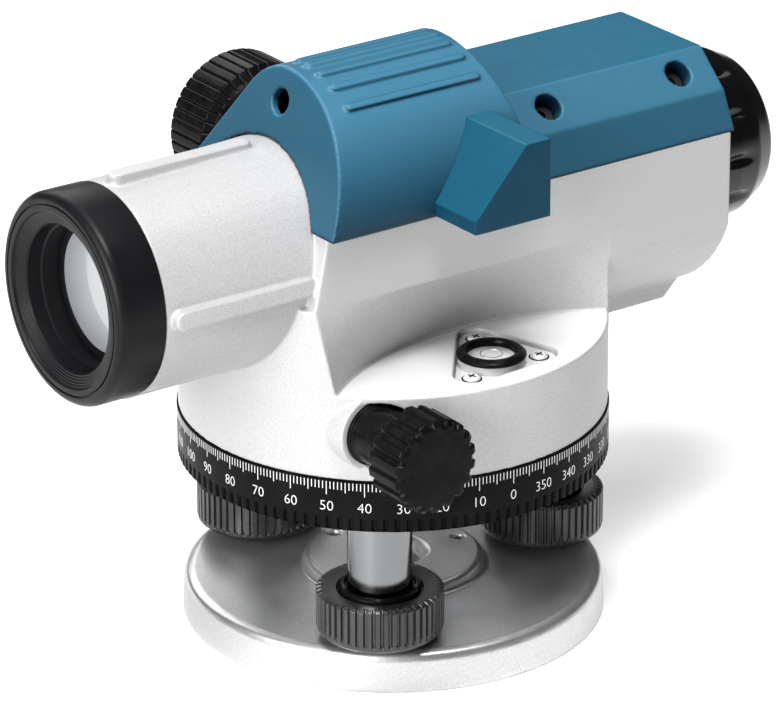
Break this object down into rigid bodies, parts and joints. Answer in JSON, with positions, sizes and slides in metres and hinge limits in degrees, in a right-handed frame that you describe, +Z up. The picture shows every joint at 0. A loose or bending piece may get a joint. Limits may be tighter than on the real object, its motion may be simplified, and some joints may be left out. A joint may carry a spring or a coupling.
{
  "type": "automatic level",
  "caption": "Automatic optical level with telescope, compensator, focusing and tangent knobs, circular bubble, horizontal circle, foot screws and tripod base.",
  "frame": {"origin": "on the standing axis at the mouth of the tripod thread, in the underside of the base plate", "axes": "+Z up along the standing axis; -X towards the objective and +X towards the eyepiece; +Y towards the focusing knob"},
  "size_m": [0.2134, 0.136, 0.1567],
  "materials": {
    "silver_paint": "fine-textured silver paint on cast aluminium",
    "blue_cover": "satin moulded blue plastic",
    "black_plastic": "satin moulded black plastic",
    "black_rubber": "soft black rubber",
    "circle_black": "satin black with white graduations",
    "steel": "machined steel",
    "bright_steel": "polished steel",
    "aluminium": "machined",
    "black_anodised": "black anodised",
    "brass": "machined brass",
    "glass": "coated optical glass",
    "mirror": "polished"
  },
  "bodies": {
    "base": {"base_plate": "silver_paint", "spring_plate": "steel", "spring_plate_screws": "steel"},
    "tribrach": {"tribrach_body": "aluminium", "foot_sleeve_1": "bright_steel", "foot_sleeve_2": "bright_steel", "foot_sleeve_3": "bright_steel", "foot_collar_2": "black_plastic", "foot_collar_3": "black_plastic", "clutch_washer": "steel"},
    "foot_lift_1": {"foot_collar_1": "black_plastic"},
    "foot_1": {"foot_knob_1": "black_plastic", "foot_spindle_1": "steel"},
    "foot_2": {"foot_knob_2": "black_plastic", "foot_spindle_2": "steel"},
    "foot_3": {"foot_knob_3": "black_plastic", "foot_spindle_3": "steel"},
    "circle": {"horizontal_circle": "circle_black"},
    "clutch_wheel": {"worm_wheel": "brass"},
    "alidade": {"main_housing": "silver_paint", "axis_spindle": "steel", "axis_nut": "steel", "drum_plate": "aluminium", "drum_screws": "steel", "tangent_bush_left": "black_plastic", "tangent_bush_right": "black_plastic", "objective_ring": "black_rubber", "objective_cell": "black_anodised", "objective_lens_front": "glass", "objective_lens_rear": "glass", "focus_guide": "black_anodised", "focus_bush": "brass", "compensator_frame": "black_anodised", "prism_front": "glass", "prism_rear": "glass", "damper_magnets": "steel", "reticle_cell": "black_anodised", "reticle_glass": "glass", "eyepiece_tube": "black_anodised", "top_cover": "blue_cover", "cover_screws": "steel", "mirror_hood": "blue_cover", "bubble_mirror": "mirror", "bubble_cup": "silver_paint", "bubble_glass": "glass", "bubble_rim": "black_plastic", "bubble_screws": "steel"},
    "worm": {"worm_shaft": "steel", "tangent_knob_left": "black_plastic", "tangent_knob_right": "black_plastic"},
    "focus_drive": {"focus_knob": "black_plastic", "focus_pinion": "steel"},
    "focus_slide": {"focus_carriage": "black_anodised", "focus_lens": "glass"},
    "pendulum": {"pendulum_frame": "aluminium", "pendulum_mirror": "mirror"},
    "eyepiece": {"eyepiece_cap": "black_rubber"},
    "eye_lens_cell": {"eyepiece_cell": "black_anodised", "eyepiece_lens": "glass"}
  },
  "joints": [
    {"name": "level_tilt", "type": "hinge", "parent": "base", "child": "tribrach", "pos_m": [0.0141, 0.01669, 0.0064], "axis": [-0.7638, 0.6455, 0], "range_deg": [-1.5, 1.5]},
    {"name": "foot_1_lift", "type": "slide", "parent": "tribrach", "child": "foot_lift_1", "axis": [0, 0, 1], "range_m": [-0.00171, 0.00171]},
    {"name": "foot_1_turn", "type": "hinge", "parent": "foot_lift_1", "child": "foot_1", "pos_m": [-0.02821, -0.03338, 0.02], "axis": [0, 0, 1], "range_deg": [-820, 820]},
    {"name": "foot_2_turn", "type": "hinge", "parent": "tribrach", "child": "foot_2", "pos_m": [0.04301, -0.00774, 0.02], "axis": [0, 0, 1], "range_deg": [-820, 820]},
    {"name": "foot_3_turn", "type": "hinge", "parent": "tribrach", "child": "foot_3", "pos_m": [-0.0148, 0.04112, 0.02], "axis": [0, 0, 1], "range_deg": [-820, 820]},
    {"name": "circle_turn", "type": "hinge", "parent": "tribrach", "child": "circle", "pos_m": [0, 0, 0.054], "axis": [0, 0, 1], "continuous": true},
    {"name": "hand_turn", "type": "hinge", "parent": "tribrach", "child": "clutch_wheel", "pos_m": [0, 0, 0.0716], "axis": [0, 0, 1], "continuous": true},
    {"name": "fine_turn", "type": "hinge", "parent": "clutch_wheel", "child": "alidade", "pos_m": [0, 0, 0.0716], "axis": [0, 0, 1], "continuous": true},
    {"name": "tangent_turn", "type": "hinge", "parent": "alidade", "child": "worm", "pos_m": [-0.035, 0, 0.0716], "axis": [0, 1, 0], "continuous": true},
    {"name": "focus_turn", "type": "hinge", "parent": "alidade", "child": "focus_drive", "pos_m": [-0.0161, 0.035, 0.124], "axis": [0, 1, 0], "range_deg": [-270, 270]},
    {"name": "focus_travel", "type": "slide", "parent": "alidade", "child": "focus_slide", "axis": [1, 0, 0], "range_m": [-0.00942, 0.00942]},
    {"name": "compensator_swing", "type": "hinge", "parent": "alidade", "child": "pendulum", "pos_m": [0.03, 0, 0.1175], "axis": [0, 1, 0], "range_deg": [-1, 1]},
    {"name": "eyepiece_turn", "type": "hinge", "parent": "alidade", "child": "eyepiece", "pos_m": [0.1, 0, 0.1095], "axis": [1, 0, 0], "range_deg": [-180, 180]},
    {"name": "eye_lens_travel", "type": "slide", "parent": "alidade", "child": "eye_lens_cell", "axis": [1, 0, 0], "range_m": [-0.001, 0.001]}
  ],
  "couplings": [
    {"joint": "level_tilt", "follows": "foot_1_lift", "rad_per_m": -15.256},
    {"joint": "foot_1_turn", "follows": "foot_1_lift", "rad_per_m": 8377.6},
    {"joint": "tangent_turn", "follows": "fine_turn", "ratio": 80},
    {"joint": "focus_turn", "follows": "focus_travel", "rad_per_m": -500},
    {"joint": "eyepiece_turn", "follows": "eye_lens_travel", "rad_per_m": 3141.6}
  ]
}
